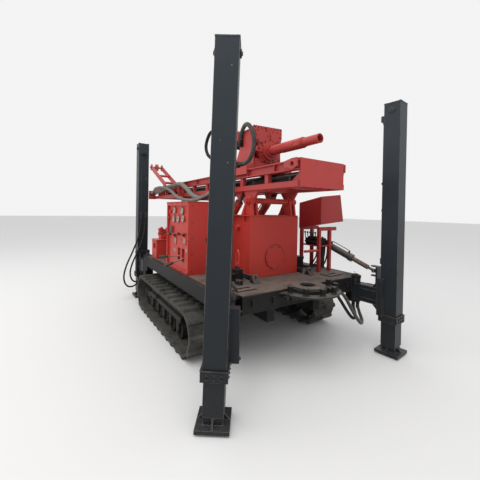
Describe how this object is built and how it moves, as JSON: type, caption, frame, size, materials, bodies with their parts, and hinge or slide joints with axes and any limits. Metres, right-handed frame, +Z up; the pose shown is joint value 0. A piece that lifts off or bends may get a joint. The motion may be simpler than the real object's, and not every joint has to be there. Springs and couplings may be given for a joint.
{
  "type": "crawler rotary drilling rig",
  "caption": "Used crawler rotary drilling rig: rubber tracks, flat deck, mast lying in transport position with its rotary head, and long jack legs on swing-out arms.",
  "frame": {"origin": "on the ground, under the middle of the whole rig's box", "axes": "+X across to the machine's right side, -Y towards the drilling end, +Z up"},
  "size_m": [2.5844, 6.2408, 2.9144],
  "materials": {
    "red_paint": "worn gloss paint",
    "black_paint": "dusty worn paint",
    "slate_paint": "worn paint",
    "deck_steel": "worn walked-on plate",
    "rubber_belt": "dusty rubber",
    "rubber_hose": "dusty hose cover",
    "grey_paint": "oily paint",
    "burnt_steel": "heat-stained",
    "bright_steel": "brownish hard chrome"
  },
  "bodies": {
    "chassis": {"chassis_frame": "black_paint", "deck_plate": "deck_steel", "track_left": "rubber_belt", "track_right": "rubber_belt", "track_frame_left": "black_paint", "track_frame_right": "black_paint", "track_wheels_left": "black_paint", "track_wheels_right": "black_paint", "mast_pedestal": "red_paint", "drill_table": "black_paint", "engine": "grey_paint", "radiator": "black_paint", "exhaust": "burnt_steel", "hydraulic_tank": "red_paint", "fuel_tank": "red_paint", "console": "red_paint", "valve_stand": "red_paint", "battery_box": "black_paint", "pump_box": "red_paint", "mast_rest": "red_paint", "cylinder_brackets": "black_paint", "valve_bank": "black_paint", "hoses_front_right": "rubber_hose"},
    "mast": {"mast_frame": "red_paint", "mast_foot": "red_paint", "feed_drive": "bright_steel", "jib": "red_paint", "hoses_mast": "rubber_hose"},
    "head": {"rotary_head": "red_paint", "drive_motors": "black_paint", "hose_head_rear": "rubber_hose", "hose_head_front": "rubber_hose"},
    "drill_spindle": {"spindle": "red_paint"},
    "raise_barrels": {"tilt_barrels": "red_paint"},
    "raise_rods": {"tilt_rods": "bright_steel"},
    "arm_front_left_body": {"arm_front_left": "black_paint"},
    "leg_front_left_body": {"leg_front_left": "slate_paint"},
    "barrel_front_left_body": {"barrel_front_left": "black_paint"},
    "rod_front_left_body": {"rod_front_left": "bright_steel"},
    "arm_front_right_body": {"arm_front_right": "black_paint"},
    "leg_front_right_body": {"leg_front_right": "slate_paint"},
    "barrel_front_right_body": {"barrel_front_right": "black_paint"},
    "rod_front_right_body": {"rod_front_right": "bright_steel"},
    "arm_rear_left_body": {"arm_rear_left": "black_paint", "hoses_leg_rear_left": "rubber_hose"},
    "leg_rear_left_body": {"leg_rear_left": "slate_paint"},
    "barrel_rear_left_body": {"barrel_rear_left": "black_paint"},
    "rod_rear_left_body": {"rod_rear_left": "bright_steel"},
    "arm_rear_right_body": {"arm_rear_right": "black_paint"},
    "leg_rear_right_body": {"leg_rear_right": "slate_paint"},
    "barrel_rear_right_body": {"barrel_rear_right": "black_paint"},
    "rod_rear_right_body": {"rod_rear_right": "bright_steel"}
  },
  "joints": [
    {"name": "mast_raise", "type": "hinge", "parent": "chassis", "child": "mast", "pos_m": [0.15003, -1.95999, 1.756], "axis": [1, 0, 0], "range_deg": [0, 90]},
    {"name": "head_feed", "type": "slide", "parent": "mast", "child": "head", "axis": [0, 1, 0], "range_m": [0, 3]},
    {"name": "spindle_turn", "type": "hinge", "parent": "head", "child": "drill_spindle", "pos_m": [0.15003, -1.88999, 2.4], "axis": [0, 1, 0], "continuous": true},
    {"name": "raise_barrel_turn", "type": "hinge", "parent": "chassis", "child": "raise_barrels", "pos_m": [0.15003, -1.05999, 1.2], "axis": [1, 0, 0], "range_deg": [-0.5, 4.99]},
    {"name": "raise_rod_slide", "type": "slide", "parent": "raise_barrels", "child": "raise_rods", "axis": [0, -0.6943, 0.7197], "range_m": [-0.002, 0.4285]},
    {"name": "arm_front_left_swing", "type": "hinge", "parent": "chassis", "child": "arm_front_left_body", "pos_m": [-0.79997, -2.52999, 0.65], "axis": [0, 0, -1], "range_deg": [-35, 25]},
    {"name": "leg_front_left_extend", "type": "slide", "parent": "arm_front_left_body", "child": "leg_front_left_body", "axis": [-0.0186, 0.013, -0.9997], "range_m": [-0.25, 1.35]},
    {"name": "barrel_front_left_turn", "type": "hinge", "parent": "chassis", "child": "barrel_front_left_body", "pos_m": [-0.67997, -2.03999, 1.19], "axis": [-0.4678, -0.1983, 0.8613], "range_deg": [-6.72, 9.21]},
    {"name": "rod_front_left_slide", "type": "slide", "parent": "barrel_front_left_body", "child": "rod_front_left_body", "axis": [-0.4632, -0.7863, -0.4089], "range_m": [-0.0536, 0.0743]},
    {"name": "arm_front_right_swing", "type": "hinge", "parent": "chassis", "child": "arm_front_right_body", "pos_m": [1.10003, -2.52999, 0.65], "axis": [0, 0, 1], "range_deg": [-6, 54]},
    {"name": "leg_front_right_extend", "type": "slide", "parent": "arm_front_right_body", "child": "leg_front_right_body", "axis": [0, 0, -1], "range_m": [-0.25, 1.35]},
    {"name": "barrel_front_right_turn", "type": "hinge", "parent": "chassis", "child": "barrel_front_right_body", "pos_m": [1.10003, -2.03999, 1.19], "axis": [-0.5576, 0.2364, -0.7958], "range_deg": [-13.37, 1.93]},
    {"name": "rod_front_right_slide", "type": "slide", "parent": "barrel_front_right_body", "child": "rod_front_right_body", "axis": [0.2056, -0.8938, -0.3986], "range_m": [-0.1306, 0.0163]},
    {"name": "arm_rear_left_swing", "type": "hinge", "parent": "chassis", "child": "arm_rear_left_body", "pos_m": [-0.79997, 0.23001, 0.65], "axis": [0, 0, 1], "range_deg": [0, 60]},
    {"name": "leg_rear_left_extend", "type": "slide", "parent": "arm_rear_left_body", "child": "leg_rear_left_body", "axis": [0, 0, -1], "range_m": [-0.25, 1.35]},
    {"name": "barrel_rear_left_turn", "type": "hinge", "parent": "chassis", "child": "barrel_rear_left_body", "pos_m": [-0.19997, 0.33001, 0.64], "axis": [0, 0, -1], "range_deg": [-2.48, 0.5]},
    {"name": "rod_rear_left_slide", "type": "slide", "parent": "barrel_rear_left_body", "child": "rod_rear_left_body", "axis": [-0.979, 0.204, 0], "range_m": [-0.002, 0.2387]},
    {"name": "arm_rear_right_swing", "type": "hinge", "parent": "chassis", "child": "arm_rear_right_body", "pos_m": [1.10003, 0.23001, 0.65], "axis": [0, 0, -1], "range_deg": [0, 60]},
    {"name": "leg_rear_right_extend", "type": "slide", "parent": "arm_rear_right_body", "child": "leg_rear_right_body", "axis": [0, 0, -1], "range_m": [-0.25, 1.35]},
    {"name": "barrel_rear_right_turn", "type": "hinge", "parent": "chassis", "child": "barrel_rear_right_body", "pos_m": [0.50003, 0.33001, 0.64], "axis": [0, 0, 1], "range_deg": [-2.48, 0.5]},
    {"name": "rod_rear_right_slide", "type": "slide", "parent": "barrel_rear_right_body", "child": "rod_rear_right_body", "axis": [0.979, 0.204, 0], "range_m": [-0.002, 0.2387]}
  ],
  "couplings": [
    {"joint": "raise_barrel_turn", "follows": "mast_raise", "ratio": 0.049848},
    {"joint": "raise_rod_slide", "follows": "mast_raise", "m_per_rad": 0.2715},
    {"joint": "barrel_front_left_turn", "follows": "arm_front_left_swing", "ratio": -0.24878},
    {"joint": "rod_front_left_slide", "follows": "arm_front_left_swing", "m_per_rad": -0.11829},
    {"joint": "barrel_front_right_turn", "follows": "arm_front_right_swing", "ratio": -0.2384},
    {"joint": "rod_front_right_slide", "follows": "arm_front_right_swing", "m_per_rad": -0.1365},
    {"joint": "barrel_rear_left_turn", "follows": "arm_rear_left_swing", "ratio": -0.033},
    {"joint": "rod_rear_left_slide", "follows": "arm_rear_left_swing", "m_per_rad": 0.226},
    {"joint": "barrel_rear_right_turn", "follows": "arm_rear_right_swing", "ratio": -0.033},
    {"joint": "rod_rear_right_slide", "follows": "arm_rear_right_swing", "m_per_rad": 0.226}
  ]
}
